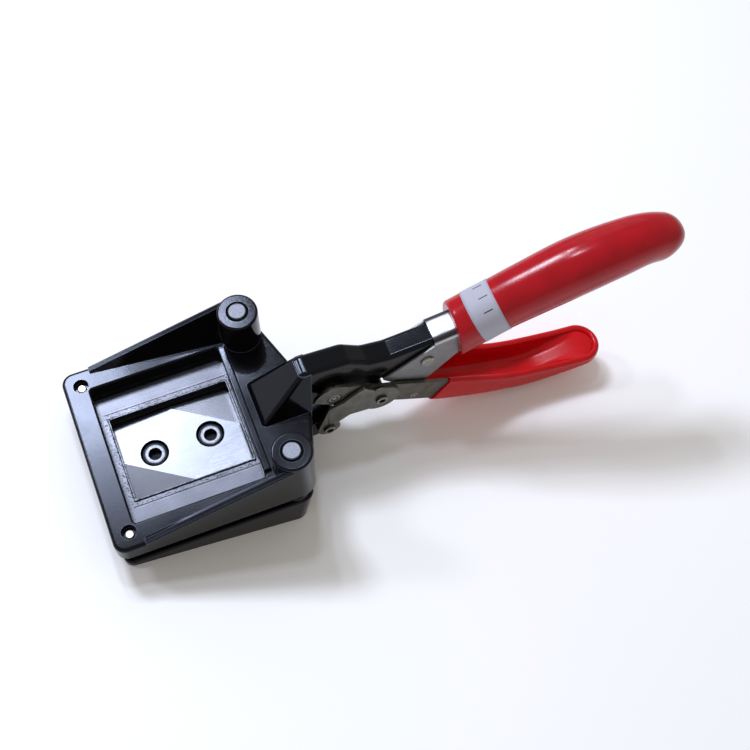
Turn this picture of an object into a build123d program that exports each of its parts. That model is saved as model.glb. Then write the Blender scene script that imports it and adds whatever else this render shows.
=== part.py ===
"""Hand-held photo punch: a tilted cutting head, two gripped handles and a linked lever.

Millimetres. The base of the lower casting lies on the table, Z is up and X runs from the
mouth to the handles. The head has a frame of its own, tilted about Y: its origin is the
middle of the die's top, and places, heights and outlines below are given in it.
"""
from math import cos, dist, radians, sin
import os

from build123d import *

os.makedirs("parts", exist_ok=True)

# Stance of the head
head_tilt = 11.0
head_height = 16.9

# Clearances and small breaks that all pieces use
seat_gap = 0.02
running_gap = 0.05
side_gap = 0.2
overrun = 2.0
edge_break = 0.3

# The cut
photo_length = 40.0
photo_width = 30.0
photo_corner = 0.6
cutting_gap = 0.03

# Upper casting
body_front = 30.8
body_width = 66.0
body_corner = 4.0
body_round = 1.2
flange_height = 6.3
window_front_lap = 2.7
window_rear_lap = 1.0
window_width = 49.6
window_corner = 1.0
window_round = 0.7
neck_place = 42.5
neck_width = 16.0

# Ribs along both sides
rib_front = 21.0
rib_height = 21.0
rib_start = 0.5
rib_top = 1.8
rib_break = 0.4
rib_front_foot = 2.6
rib_rear_foot = 8.2

# Ridge behind the window
ridge_lip = 0.2
ridge_length = 2.6
ridge_rise = 1.7
ridge_width = 47.0
ridge_round = 0.6

# Posts, their bushes and springs
post_place = 30.0
post_diameter = 6.0
post_depth = 6.8
post_stand = 0.5
bush_wall = 0.65
boss_radius = 6.7
boss_height = 22.0
boss_round = 0.8
wire = 0.8
spring_bore = 6.3
spring_pocket_gap = 0.2
spring_pocket_depth = 3.8
boss_pocket_depth = 3.0

# Arm
wedge_setback = 4.5
wedge_width = 17.4
wedge_round = 1.8
knee_place = 41.5
knee_height = 23.0
knee_length = 3.0
knee_drop = 1.0
arm_width = 8.2
arm_reach = 93.0
arm_round = 1.7
arm_corner = 5.0
lug_radius = 6.0

# Die stack, from the casting downward
die_front = 29.5
die_rear_margin = 3.2
die_width = 60.4
die_thickness = 2.0
die_notch_gap = 1.2
insert_end_wall = 2.0
insert_side_wall = 3.0
insert_corner = 2.5
land_wall = 0.6
land_stand = 0.5
slot_height = 0.8
slot_width = 44.0
guide_thickness = 1.2
guide_width = 50.0
front_screw_place = 25.0
front_screw_spread = 54.2
rear_screw_margin = 2.8
rear_screw_spread = 28.0
die_screw_diameter = 3.0
die_screw_head = 5.4
die_screw_sink = 1.2
die_screw_length = 6.5
die_screw_socket = 2.0
die_screw_socket_depth = 0.8
access_diameter = 5.0
access_depth = 2.4

# Punch and its screws
punch_rest = 3.0
punch_height = 7.5
punch_grind = 1.0
punch_point = 13.5
punch_screw_spread = 19.0
punch_screw_diameter = 5.0
punch_screw_head = 8.5
punch_screw_head_height = 4.2
punch_screw_socket = 4.0
punch_screw_socket_depth = 2.4
punch_screw_sink = 0.8
punch_screw_bite = 5.6
counterbore_gap = 0.45

# Lower casting
lower_front = 29.6
lower_rear = 35.5
lower_width = 62.4
lower_top = 9.2
lower_slope = 3.0
lower_front_corner = 3.0
lower_rear_corner = 4.5
lower_round = 0.8
ear_width = 13.6
ear_radius = 4.0
ear_root_radius = 5.0
ear_root_place = 31.0

# Linkage
pivot_place = 50.8
pivot_height = 5.7
pivot_diameter = 5.0
middle_place = 66.7
middle_drop = 3.4
link_pin_place = 47.9
link_pin_drop = 12.2
rivet_diameter = 3.0
rivet_head = 4.2
rivet_head_height = 0.9
rivet_bore = 1.8
rivet_bore_depth = 1.1
link_play = 0.2
spacer_diameter = 4.6
washer_diameter = 9.0
sheet = 1.2

# Lever
lever_width = 13.8
lever_reach = 103.0
lobe_radius = 7.0
lever_corner = 5.0
web_front = 74.0
lever_round = 2.2
stop_place = 79.2
stop_drop = 12.6
stop_diameter = 3.0
stop_gap = 0.2
squeeze = 7.7

# Links
link_ear_radius = 4.0
link_end_radius = 6.5

# Upper handle
channel_start = 86.5
channel_start_height = 17.0
channel_lip = 2.5
channel_round = 2.6
flange_tip_place = 68.5
flange_tip_height = 3.5
flange_foot_front = 77.0
flange_foot_rear = 83.5
flange_waist_place = 94.5
flange_waist_height = 4.6
handle_rivet_place = 84.0
handle_rivet_height = 6.8
handle_rivet_head = 4.8

# Upper grip
grip_start = 95.3
grip_start_height = 12.55
grip_length = 82.2
grip_mouth = 1.3
grip_mouth_lean = 5.0
grip_rise = 16.0
grip_width = 16.6
grip_height = 19.0

# Lower grip
coat = 0.7
lining = 0.5
coat_place = 88.0
coat_drop = 17.0
coat_lean = 27.0

# Size label
label_start = 7.5
label_lean = 23.0
label_width = 9.5
label_thickness = 0.15

# Shares of the arm's reach and of the knee's height
arm_top_shares = ((0.613, 0.943), (0.688, 0.700), (0.768, 0.632), (1.0, 0.710))
arm_underside_shares = ((1.0, 0.190), (0.817, 0.110), (0.645, 0.030))

# Shares of the lever's reach, from its pivot
lever_top_shares = (
    (0.003, 0.068), (0.088, 0.028), (0.127, -0.009), (0.222, -0.058), (0.371, -0.147),
    (0.517, -0.231), (0.594, -0.278), (0.672, -0.312), (0.750, -0.335), (0.876, -0.364),
    (1.000, -0.383),
)
lever_bottom_shares = (
    (1.000, -0.418), (0.949, -0.425), (0.876, -0.424), (0.759, -0.419), (0.680, -0.409),
    (0.536, -0.359), (0.449, -0.319), (0.342, -0.265), (0.226, -0.194), (0.165, -0.153),
    (0.109, -0.133), (0.021, -0.064),
)
lobe_chord_shares = ((-0.074, 0.018), (0.021, -0.064), (-0.040, -0.151), (-0.151, -0.020))

# Shares of the link's length, from its middle rivet
link_outline_shares = (
    (-1.084, -0.356), (-0.891, 0.226), (-0.645, 0.294), (-0.477, 0.438), (-0.275, 0.544),
    (-0.101, 0.342), (0.0, 0.0), (-0.197, -0.222), (-0.539, -0.183), (-0.756, -0.318),
    (-0.906, -0.424),
)

# Most of a heading that may point up before it counts as upright
upright_share = 0.7

# Shares of the grip's length and rise, with the fullness of the section
grip_course_shares = (
    (-0.060, -0.125, 1.040), (0.060, 0.131, 1.035), (0.180, 0.366, 1.020), (0.300, 0.561, 1.055),
    (0.500, 0.851, 1.106), (0.680, 0.993, 1.054), (0.820, 1.005, 0.946), (0.900, 0.870, 0.830),
    (0.955, 0.738, 0.670), (0.992, 0.642, 0.320),
)
grip_corner_share = 0.46

# Shares of the grip's length and rise that the channel's top and edge follow
channel_top_shares = ((0.000, 0.359), (0.127, 0.591), (0.391, 1.015), (0.584, 1.184), (0.754, 1.216))
channel_edge_shares = ((0.754, 0.659), (0.584, 0.530), (0.391, 0.310), (0.127, -0.122))

# Levels and places that follow
tilt_cos = cos(radians(head_tilt))
tilt_sin = sin(radians(head_tilt))


def table_level(place):
    """Height of the table under a place along the head."""
    return -(head_height + place * tilt_sin) / tilt_cos


def table_place(place):
    """Where that point lies along the table, from under the head's origin."""
    return place * tilt_cos - table_level(place) * tilt_sin


base_rear = lower_rear - lower_slope
head_setback = (table_place(-lower_front) + table_place(base_rear)) / 2
head_axis = (tilt_cos, 0, tilt_sin)
head = Plane(origin=(-head_setback, 0, head_height), x_dir=head_axis, z_dir=(-tilt_sin, 0, tilt_cos))
side = Plane(origin=head.origin, x_dir=head_axis, z_dir=(0, -1, 0))
upward = Axis(head.origin, head.z_dir)
rearward = Axis(head.origin, head.x_dir)
sides = (("near", -1), ("far", 1))

photo_end = photo_length / 2
window_front = photo_end + window_front_lap
window_rear = photo_end + window_rear_lap
wedge_front = window_rear + wedge_setback
slot_depth = photo_end + insert_end_wall
rear_screw_place = slot_depth + rear_screw_margin
die_rear = rear_screw_place + die_rear_margin
slot_level = -die_thickness
guide_level = slot_level - slot_height
guide_foot = guide_level - guide_thickness
punch_foot = -punch_rest - punch_height
head_top = -punch_rest - punch_screw_sink
seat_level = head_top - punch_screw_head_height
insert_length = photo_length + 2 * insert_end_wall
insert_width = photo_width + 2 * insert_side_wall
post_radius = post_diameter / 2
bush_radius = post_radius + running_gap + bush_wall
spring_radius = spring_bore / 2 + wire
pocket_radius = spring_radius + spring_pocket_gap
post_reach = body_width / 2 - boss_radius
lever_half = lever_width / 2
lever_inside = lever_half - sheet
link_inside = lever_half + side_gap
link_outside = link_inside + sheet
arm_half = arm_width / 2
channel_inside = arm_half + seat_gap
channel_outside = channel_inside + sheet
pivot = (pivot_place, pivot_height)
middle = (middle_place, -middle_drop)
link_pin_point = (link_pin_place, -link_pin_drop)
stop_point = (stop_place, -stop_drop)
link_length = dist(middle, link_pin_point)
rivet_radius = rivet_diameter / 2


def scaled(origin, shares, across, along):
    """Points at shares of two sizes from an origin."""
    return [(origin[0] + x * across, origin[1] + z * along) for x, z in shares]


def turned(point, centre, angle):
    """The point after a turn about the centre, in the side view."""
    x = point[0] - centre[0]
    z = point[1] - centre[1]
    c = cos(radians(angle))
    s = sin(radians(angle))
    return centre[0] + x * c - z * s, centre[1] + x * s + z * c


def station(place):
    """Plane across the head at a place along it, with Y to the right and the head's up."""
    return Plane(origin=head.from_local_coords((place, 0, 0)), x_dir=(0, 1, 0), z_dir=head.x_dir)


def panel(front, rear, width, corner=0):
    """Draws a rectangle between two places along the head."""
    with Locations(((front + rear) / 2, 0)):
        if corner:
            RectangleRounded(rear - front, width, corner)
        else:
            Rectangle(rear - front, width)


def outline(points, mode=Mode.ADD):
    """Draws a closed outline through points."""
    Polygon(*points, align=None, mode=mode)


def rounded_outline(points, radius):
    """Draws a closed outline with rounded corners."""
    with BuildLine() as border:
        FilletPolyline(*points, radius=radius, close=True)
    make_face(border.edges())


def chained_outline(top, bottom, radius):
    """Draws an outline of two chains of points, with rounded corners along each."""
    with BuildLine() as border:
        upper = FilletPolyline(*top, radius=radius)
        lower = FilletPolyline(*bottom, radius=radius)
        Line(upper @ 1, lower @ 0)
        Line(lower @ 1, upper @ 0)
    make_face(border.edges())


def side_hole(point, radius):
    """Cuts a round hole right across, seen from the side."""
    with BuildSketch(side) as bore:
        with Locations(point):
            Circle(radius)
    extrude(bore.sketch, amount=body_width, both=True, mode=Mode.SUBTRACT)


def finish(piece, name):
    """Labels a finished piece and writes it."""
    piece.part.label = name
    export_step(piece.part, f"parts/{name}.step")


# Upper casting: the arm with its lug
front_lean = (knee_place - wedge_front) / (knee_height - flange_height)
arm_root_place = wedge_front + ridge_rise * front_lean
with BuildPart() as arm:
    with BuildSketch(side):
        rounded_outline(
            [
                (arm_root_place, flange_height + ridge_rise),
                (knee_place, knee_height),
                *scaled((0, 0), arm_top_shares, arm_reach, knee_height),
                *scaled((0, 0), arm_underside_shares, arm_reach, knee_height),
                (pivot_place, pivot_height - lug_radius),
                (post_place + boss_radius, 0),
            ],
            arm_corner,
        )
    extrude(amount=arm_half, both=True)
    fillet(arm.faces().filter_by(Axis.Y).edges(), radius=arm_round)

# The wedge that carries the arm up from the flange
with BuildPart() as wedge:
    with BuildSketch(head.offset(flange_height)):
        panel(wedge_front, neck_place, wedge_width)
    with BuildSketch(head.offset(knee_height - knee_drop)):
        panel(knee_place - knee_drop * front_lean, knee_place + knee_length, arm_width)
    loft()
    fillet(wedge.edges().sort_by(SortBy.LENGTH)[-2:], radius=wedge_round)

with BuildPart() as ridge:
    with BuildSketch(head):
        panel(window_rear - ridge_lip, window_rear - ridge_lip + ridge_length, ridge_width)
    extrude(amount=flange_height + ridge_rise)
    fillet(faces().sort_by(upward)[-1].edges(), radius=ridge_round)

# The plate with its window, ribs and bosses
with BuildPart() as upper_body:
    with BuildSketch(head):
        with BuildLine():
            half = body_width / 2
            corner_place = post_place + boss_radius
            Line((-body_front, -half), (post_place, -half))
            RadiusArc((post_place, -half), (corner_place, -post_reach), -boss_radius)
            Line((corner_place, -post_reach), (neck_place, -neck_width / 2))
            Line((neck_place, -neck_width / 2), (neck_place, neck_width / 2))
            Line((neck_place, neck_width / 2), (corner_place, post_reach))
            RadiusArc((corner_place, post_reach), (post_place, half), -boss_radius)
            Line((post_place, half), (-body_front, half))
            Line((-body_front, half), (-body_front, -half))
        make_face()
        fillet(vertices().sort_by(rearward)[:2], radius=body_corner)
    extrude(amount=flange_height)
    fillet(faces().sort_by(upward)[-1].outer_wire().edges(), radius=body_round)
    with BuildSketch(head):
        panel(-window_front, window_rear, window_width, window_corner)
    extrude(amount=flange_height, mode=Mode.SUBTRACT)
    fillet(faces().sort_by(upward)[-1].inner_wires()[0].edges(), radius=window_round)
    with BuildSketch(head):
        with Locations(*[(post_place, sign * post_reach) for _, sign in sides]):
            Circle(boss_radius)
    extrude(amount=boss_height)
    fillet(faces().filter_by(upward).group_by(upward)[-1].edges(), radius=boss_round)
    add(ridge.part)
    add(wedge.part)
    add(arm.part)
    for _, sign in sides:
        for place, top, foot in (
            (-rib_front, flange_height + rib_start, rib_front_foot),
            (post_place, rib_height, rib_rear_foot),
        ):
            with BuildSketch(station(place)):
                outline(
                    [
                        (sign * half, 0),
                        (sign * half, top - rib_break),
                        (sign * (half - rib_break), top),
                        (sign * (half - rib_top), top),
                        (sign * (half - foot), flange_height),
                        (sign * (half - foot), 0),
                    ]
                )
        loft(ruled=True)
    with BuildSketch(head):
        with Locations(*[(post_place, sign * post_reach) for _, sign in sides]):
            Circle(bush_radius + seat_gap)
    extrude(amount=boss_height, mode=Mode.SUBTRACT)
    with BuildSketch(head):
        with Locations(*[(post_place, sign * post_reach) for _, sign in sides]):
            Circle(pocket_radius)
    extrude(amount=boss_pocket_depth, mode=Mode.SUBTRACT)
    with BuildSketch(head):
        with Locations(*[(-front_screw_place, sign * front_screw_spread / 2) for _, sign in sides]):
            Circle(die_screw_diameter / 2 + seat_gap)
    extrude(amount=flange_height, mode=Mode.SUBTRACT)
    with BuildSketch(head.offset(flange_height - access_depth)):
        with Locations(*[(-front_screw_place, sign * front_screw_spread / 2) for _, sign in sides]):
            Circle(access_diameter / 2)
    extrude(amount=access_depth, mode=Mode.SUBTRACT)
    with BuildSketch(head):
        with Locations(*[(rear_screw_place, sign * rear_screw_spread / 2) for _, sign in sides]):
            Circle(die_screw_diameter / 2 + seat_gap)
    extrude(amount=die_screw_length + guide_foot + edge_break, mode=Mode.SUBTRACT)
    side_hole(pivot, pivot_diameter / 2 + seat_gap)
    side_hole((handle_rivet_place, handle_rivet_height), rivet_radius + seat_gap)
finish(upper_body, "upper_body")

# Bushes in the bosses, and the posts that run in them
for name, sign in sides:
    with BuildPart() as guide_bush:
        with BuildSketch(head.offset(boss_pocket_depth)):
            with Locations((post_place, sign * post_reach)):
                Circle(bush_radius)
                Circle(post_radius + running_gap, mode=Mode.SUBTRACT)
        extrude(amount=boss_height - boss_pocket_depth)
        chamfer(edges().group_by(upward)[-1], length=edge_break)
    finish(guide_bush, f"guide_bush_{name}")

    with BuildPart() as guide_post:
        with BuildSketch(head.offset(-lower_top - post_depth)):
            with Locations((post_place, sign * post_reach)):
                Circle(post_radius)
        extrude(amount=lower_top + post_depth + boss_height + post_stand)
        chamfer(edges().group_by(upward)[-1], length=edge_break)
    finish(guide_post, f"guide_post_{name}")

    with BuildPart() as return_spring:
        with BuildSketch(head.offset(-lower_top - spring_pocket_depth)):
            with Locations((post_place, sign * post_reach)):
                Circle(spring_radius)
                Circle(spring_radius - wire, mode=Mode.SUBTRACT)
        extrude(amount=lower_top + spring_pocket_depth + boss_pocket_depth)
    finish(return_spring, f"return_spring_{name}")


def stack_plate(width, foot, thickness):
    """One plate of the die stack, notched round the posts."""
    with BuildSketch(head.offset(foot)) as blank:
        panel(-die_front, die_rear, width)
        with Locations(*[(post_place, sign * post_reach) for _, sign in sides]):
            Circle(pocket_radius + die_notch_gap, mode=Mode.SUBTRACT)
    extrude(blank.sketch, amount=thickness)


def screw_holes(place, spread, foot, thickness, sunk):
    """Holes for a pair of die screws, sunk for their heads where they start."""
    shank = die_screw_diameter / 2 + seat_gap
    for _, sign in sides:
        with BuildSketch(head.offset(foot)) as bore:
            with Locations((place, sign * spread / 2)):
                Circle(shank)
        extrude(bore.sketch, amount=thickness, mode=Mode.SUBTRACT)
        if sunk:
            with BuildSketch(head.offset(foot)) as mouth:
                with Locations((place, sign * spread / 2)):
                    Circle(die_screw_head / 2 + seat_gap)
            with BuildSketch(head.offset(foot + die_screw_sink)) as throat:
                with Locations((place, sign * spread / 2)):
                    Circle(shank)
            loft([mouth.sketch, throat.sketch], mode=Mode.SUBTRACT)


with BuildPart() as die_plate:
    stack_plate(die_width, slot_level, die_thickness)
    with BuildSketch(head.offset(slot_level)):
        RectangleRounded(insert_length + 2 * seat_gap, insert_width + 2 * seat_gap, insert_corner)
    extrude(amount=die_thickness, mode=Mode.SUBTRACT)
    screw_holes(-front_screw_place, front_screw_spread, slot_level, die_thickness, True)
    screw_holes(rear_screw_place, rear_screw_spread, slot_level, die_thickness, False)
finish(die_plate, "die_plate")

with BuildPart() as die_insert:
    with BuildSketch(head.offset(slot_level)):
        RectangleRounded(insert_length, insert_width, insert_corner)
    extrude(amount=die_thickness)
    with BuildSketch(head):
        RectangleRounded(photo_length + 2 * land_wall, photo_width + 2 * land_wall, land_wall)
    extrude(amount=land_stand)
    chamfer(faces().sort_by(upward)[-1].edges(), length=edge_break)
    with BuildSketch(head.offset(slot_level)):
        RectangleRounded(photo_length, photo_width, photo_corner)
    extrude(amount=die_thickness + land_stand, mode=Mode.SUBTRACT)
finish(die_insert, "die_insert")

with BuildPart() as slot_spacer:
    with BuildSketch(head.offset(guide_level)):
        panel(slot_depth, die_rear, slot_width)
    extrude(amount=slot_height)
    screw_holes(rear_screw_place, rear_screw_spread, guide_level, slot_height, False)
finish(slot_spacer, "slot_spacer")

with BuildPart() as guide_plate:
    stack_plate(guide_width, guide_foot, guide_thickness)
    with BuildSketch(head.offset(guide_foot)):
        RectangleRounded(photo_length, photo_width, photo_corner)
    extrude(amount=guide_thickness, mode=Mode.SUBTRACT)
    screw_holes(rear_screw_place, rear_screw_spread, guide_foot, guide_thickness, True)
finish(guide_plate, "guide_plate")

for end, place, spread, foot in (
    ("front", -front_screw_place, front_screw_spread, slot_level),
    ("rear", rear_screw_place, rear_screw_spread, guide_foot),
):
    for name, sign in sides:
        centre = (place, sign * spread / 2)
        with BuildPart() as die_screw:
            with BuildSketch(head.offset(foot)):
                with Locations(centre):
                    Circle(die_screw_head / 2)
            with BuildSketch(head.offset(foot + die_screw_sink)):
                with Locations(centre):
                    Circle(die_screw_diameter / 2)
            loft()
            with BuildSketch(head.offset(foot + die_screw_sink)):
                with Locations(centre):
                    Circle(die_screw_diameter / 2)
            extrude(amount=die_screw_length - die_screw_sink)
            chamfer(edges().group_by(upward)[-1], length=edge_break)
            with BuildSketch(head.offset(foot)):
                with Locations(centre):
                    RegularPolygon(die_screw_socket / 2, 6, major_radius=False)
            extrude(amount=die_screw_socket_depth, mode=Mode.SUBTRACT)
        finish(die_screw, f"die_screw_{end}_{name}")

# Punch, ground down toward its four corners
with BuildPart() as punch:
    punch_size = (photo_length - 2 * cutting_gap, photo_width - 2 * cutting_gap)
    with BuildSketch(head.offset(punch_foot)):
        RectangleRounded(*punch_size, photo_corner)
    extrude(amount=punch_height)
    for along in (-1, 1):
        for _, sign in sides:
            tip = Vector(along * punch_size[0] / 2, 0, -punch_rest)
            flank = Vector(0, sign * punch_point, -punch_rest)
            corner = Vector(along * punch_size[0] / 2, sign * punch_size[1] / 2, -punch_rest)
            outer = Vector(along * punch_point, sign * punch_size[0] / 2, 0).normalized()
            drop = (corner - tip).dot(outer)
            grind = Plane(
                origin=head.from_local_coords((tip + flank) / 2),
                x_dir=head.from_local_coords(outer) - head.origin,
                z_dir=head.from_local_coords(outer.cross(Vector(0, 0, 1))) - head.origin,
            )
            with BuildSketch(grind):
                outline([(0, 0), (2 * drop, -2 * punch_grind), (2 * drop, overrun), (0, overrun)])
            extrude(amount=photo_length, both=True, mode=Mode.SUBTRACT)
    with BuildSketch(head.offset(seat_level)):
        with GridLocations(punch_screw_spread, 0, 2, 1):
            Circle(punch_screw_head / 2 + counterbore_gap)
    extrude(amount=punch_height, mode=Mode.SUBTRACT)
    with BuildSketch(head.offset(punch_foot)):
        with GridLocations(punch_screw_spread, 0, 2, 1):
            Circle(punch_screw_diameter / 2 + seat_gap)
    extrude(amount=punch_height, mode=Mode.SUBTRACT)
finish(punch, "punch")

for end, sign in (("front", -1), ("rear", 1)):
    centre = (sign * punch_screw_spread / 2, 0)
    with BuildPart() as punch_screw:
        with BuildSketch(head.offset(seat_level)):
            with Locations(centre):
                Circle(punch_screw_head / 2)
        extrude(amount=punch_screw_head_height)
        chamfer(edges().group_by(upward)[-1], length=edge_break)
        with BuildSketch(head.offset(seat_level)):
            with Locations(centre):
                Circle(punch_screw_diameter / 2)
        extrude(amount=-punch_screw_bite)
        with BuildSketch(head.offset(head_top)):
            with Locations(centre):
                RegularPolygon(punch_screw_socket / 2, 6, major_radius=False)
        extrude(amount=-punch_screw_socket_depth, mode=Mode.SUBTRACT)
    finish(punch_screw, f"punch_screw_{end}")

# Lower casting, with its base on the table and its ear behind
with BuildPart() as lower_body:
    with BuildSketch(side):
        outline(
            [
                (-lower_front, -lower_top),
                (lower_rear, -lower_top),
                (base_rear, table_level(base_rear)),
                (-lower_front, table_level(-lower_front)),
            ]
        )
    extrude(amount=lower_width / 2, both=True)
    uprights = edges().filter_by(Axis.Y, reverse=True).filter_by(rearward, reverse=True)
    uprights = uprights.filter_by(Axis.X, reverse=True).sort_by(rearward)
    fillet(uprights[:2], radius=lower_front_corner)
    uprights = edges().filter_by(GeomType.LINE).filter_by(Axis.Y, reverse=True).sort_by(SortBy.LENGTH)
    rear_edges = [
        edge for edge in uprights
        if abs(edge.length - dist((0, -lower_top), (lower_slope, table_level(base_rear)))) < edge_break
    ]
    fillet(rear_edges, radius=lower_rear_corner)
    fillet(faces().sort_by(upward)[-1].edges(), radius=lower_round)
    with BuildSketch(side):
        with Locations(link_pin_point):
            Circle(ear_radius)
        with Locations((ear_root_place, -lower_top - ear_root_radius)):
            Circle(ear_root_radius)
        make_hull()
    extrude(amount=ear_width / 2, both=True)
    with BuildSketch(head.offset(punch_foot)):
        RectangleRounded(photo_length, photo_width, photo_corner)
    extrude(amount=punch_height, mode=Mode.SUBTRACT)
    with BuildSketch(head.offset(seat_level - punch_screw_bite - edge_break)):
        with GridLocations(punch_screw_spread, 0, 2, 1):
            Circle(punch_screw_diameter / 2 + seat_gap)
    extrude(amount=punch_height, mode=Mode.SUBTRACT)
    for radius, depth in (
        (post_radius + seat_gap, post_depth),
        (pocket_radius, spring_pocket_depth),
    ):
        with BuildSketch(head.offset(-lower_top - depth)):
            with Locations(*[(post_place, sign * post_reach) for _, sign in sides]):
                Circle(radius)
        extrude(amount=depth + overrun, mode=Mode.SUBTRACT)
    side_hole(link_pin_point, rivet_radius + seat_gap)
finish(lower_body, "lower_body")


def crossing(point, radius, half_length):
    """A round bar across the tool, seen end on from the side."""
    with BuildSketch(side) as section:
        with Locations(point):
            Circle(radius)
    extrude(section.sketch, amount=half_length, both=True)


def tube_across(point, radius, bore, inside, outside):
    """Draws a tube across the tool between two distances from its middle plane."""
    with BuildSketch(side.offset(inside)) as section:
        with Locations(point):
            Circle(radius)
            Circle(bore, mode=Mode.SUBTRACT)
    extrude(section.sketch, amount=outside - inside)


def tubular_rivet(point, grip):
    """A rivet across the tool with a rolled, hollow head at both ends."""
    crossing(point, rivet_radius, grip + rivet_head_height)
    for _, sign in sides:
        with BuildSketch(side.offset(sign * grip)) as collar:
            with Locations(point):
                Circle(rivet_head / 2)
        extrude(collar.sketch, amount=sign * rivet_head_height)
        ends = edges().group_by(Axis.Y)
        fillet(ends[0] if sign > 0 else ends[-1], radius=edge_break)
        with BuildSketch(side.offset(sign * (grip + rivet_head_height))) as hollow:
            with Locations(point):
                Circle(rivet_bore / 2)
        extrude(hollow.sketch, amount=-sign * rivet_bore_depth, mode=Mode.SUBTRACT)


# Pins, rivets, washers and the tube between the lever's cheeks
with BuildPart() as pivot_pin:
    crossing(pivot, pivot_diameter / 2, lever_half)
    chamfer(edges().filter_by(GeomType.CIRCLE), length=edge_break)
finish(pivot_pin, "pivot_pin")

for name, sign in sides:
    with BuildPart() as pivot_washer:
        tube_across(pivot, washer_diameter / 2, pivot_diameter / 2 + seat_gap,
                    -sign * arm_half, -sign * (lever_inside - side_gap / 2))
    finish(pivot_washer, f"pivot_washer_{name}")

with BuildPart() as link_pin:
    tubular_rivet(link_pin_point, link_outside + side_gap / 2)
finish(link_pin, "link_pin")

with BuildPart() as middle_rivet:
    tubular_rivet(middle, link_outside + side_gap / 2)
finish(middle_rivet, "middle_rivet")

with BuildPart() as middle_spacer:
    tube_across(middle, spacer_diameter / 2, rivet_radius + seat_gap, -lever_inside, lever_inside)
finish(middle_spacer, "middle_spacer")

with BuildPart() as stop_pin:
    crossing(stop_point, stop_diameter / 2, lever_half + edge_break)
    chamfer(edges().filter_by(GeomType.CIRCLE), length=edge_break)
finish(stop_pin, "stop_pin")

with BuildPart() as handle_rivet:
    crossing((handle_rivet_place, handle_rivet_height), rivet_radius, channel_outside)
    for _, sign in sides:
        with BuildSketch(side.offset(sign * channel_outside)):
            with Locations((handle_rivet_place, handle_rivet_height)):
                Circle(handle_rivet_head / 2)
        extrude(amount=sign * rivet_head_height)
        ends = edges().group_by(Axis.Y)
        fillet(ends[0] if sign > 0 else ends[-1], radius=rivet_head_height - edge_break)
finish(handle_rivet, "handle_rivet")

# Lever: one folded sheet, open above, whose web starts behind the links
lever_top = scaled(pivot, lever_top_shares, lever_reach, lever_reach)
lever_bottom = scaled(pivot, lever_bottom_shares, lever_reach, lever_reach)
lever_end = pivot_place + lever_reach
web_line = [point for point in lever_bottom if point[0] >= web_front]
web_floor = [(x, z + sheet) for x, z in web_line]


def round_off(end_place, half_width):
    """Rounds the end of the piece in hand, seen from above the head."""
    with BuildSketch(head) as plan:
        with Locations((end_place - half_width, 0)):
            Circle(half_width)
        panel(0, end_place - half_width, 2 * half_width)
    extrude(plan.sketch, amount=lever_reach, both=True, mode=Mode.INTERSECT)


def lower_bends(piece):
    """The edges along both sides of the lever's underside and round its end."""
    bends = []
    for edge in piece.edges():
        middle_point = head.to_local_coords(edge.center())
        across = edge.geom_type == GeomType.LINE and abs(middle_point.Y) < edge_break
        chain = sorted(lever_bottom)
        before = max((point for point in chain if point[0] <= middle_point.X), default=chain[0])
        low = middle_point.Z < before[1] + lever_round
        upright = abs(edge.tangent_at(0).dot(head.z_dir)) > upright_share
        if low and not across and not upright:
            bends.append(edge)
    return bends


def lever_shape(extra):
    """Builds the lever's outer shape, made larger all round by the extra thickness."""
    with BuildPart() as shape:
        with BuildSketch(side):
            chained_outline(lever_top, lever_bottom, lever_corner)
            if extra:
                offset(amount=extra, kind=Kind.INTERSECTION)
        extrude(amount=lever_half + extra, both=True)
        round_off(lever_end + extra, lever_half + extra)
        fillet(lower_bends(shape.part), radius=lever_round + extra)
    return shape.part


def lever_hollow(shrink):
    """Builds what is open between the lever's cheeks, above its web."""
    start_place, start_height = web_line[-1]
    end_inside = lever_end - sheet - shrink
    with BuildPart() as hollow:
        with BuildSketch(side):
            outline(
                [
                    (end_inside, pivot_height + lever_reach),
                    (end_inside, lever_top[-1][1] - shrink),
                    *[(x, z + shrink) for x, z in web_floor[1:]],
                    (start_place, start_height - overrun),
                    (start_place, start_height - lever_reach),
                    (pivot_place - lever_reach, start_height - lever_reach),
                    (pivot_place - lever_reach, pivot_height + lever_reach),
                ]
            )
        extrude(amount=lever_inside - shrink, both=True)
        round_off(end_inside, lever_inside - shrink)
    return hollow.part


with BuildPart() as lever:
    add(lever_shape(0))
    crossing(pivot, lobe_radius, lever_half)
    with BuildSketch(side):
        outline(scaled(pivot, lobe_chord_shares, lever_reach, lever_reach))
    extrude(amount=lever_half, both=True, mode=Mode.SUBTRACT)
    add(lever_hollow(0), mode=Mode.SUBTRACT)
    side_hole(pivot, pivot_diameter / 2 + running_gap)
    side_hole(middle, rivet_radius + seat_gap)
    side_hole(stop_point, stop_diameter / 2 + seat_gap)
finish(lever, "lower_handle")

# Lower grip: a dipped coat on the lever, open above like it
coat_line = Plane(
    origin=side.from_local_coords((coat_place, -coat_drop, 0)),
    x_dir=(0, 1, 0),
    z_dir=side.from_local_coords((cos(radians(coat_lean)), -sin(radians(coat_lean)), 0)) - side.origin,
)
with BuildPart() as lower_grip:
    add(lever_shape(coat))
    split(bisect_by=coat_line, keep=Keep.TOP)
    add(lever_hollow(lining), mode=Mode.SUBTRACT)
    add(lever.part, mode=Mode.SUBTRACT)
finish(lower_grip, "lower_grip")

# Links, one on either side of the lever
for name, sign in sides:
    with BuildPart() as link:
        with BuildSketch(side.offset(-sign * link_inside)):
            outline(scaled(middle, link_outline_shares, link_length, link_length))
            with Locations(middle):
                Circle(link_end_radius)
            with Locations(link_pin_point):
                Circle(link_ear_radius)
        extrude(amount=-sign * sheet)
        side_hole(middle, rivet_radius + running_gap)
        side_hole(link_pin_point, rivet_radius + link_play)
    finish(link, f"link_{name}")

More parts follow.
